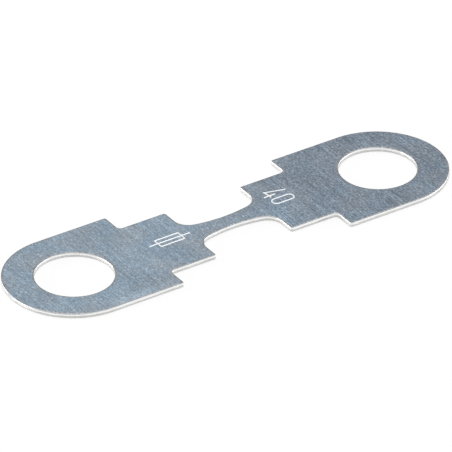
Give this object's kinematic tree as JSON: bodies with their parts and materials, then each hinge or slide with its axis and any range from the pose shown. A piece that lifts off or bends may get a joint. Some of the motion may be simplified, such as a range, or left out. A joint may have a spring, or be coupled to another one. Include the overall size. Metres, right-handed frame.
{
  "type": "bolt-down strip fuse",
  "caption": "Flat punched strip fuse with round-ended stud terminals, square-shouldered blades and a narrow waisted neck that melts.",
  "frame": {"origin": "middle of the neck on the underside, halfway between the two stud holes", "axes": "+X along the strip from one stud hole to the other, +Y across it, +Z out of the punched face that carries the rating"},
  "size_m": [0.042, 0.012, 0.0004],
  "materials": {
    "zinc": "bare rolled zinc sheet, satin, with a fine grain across the strip and bright punched edges"
  },
  "bodies": {
    "root": {"fuse_strip": "zinc"}
  },
  "joints": []
}
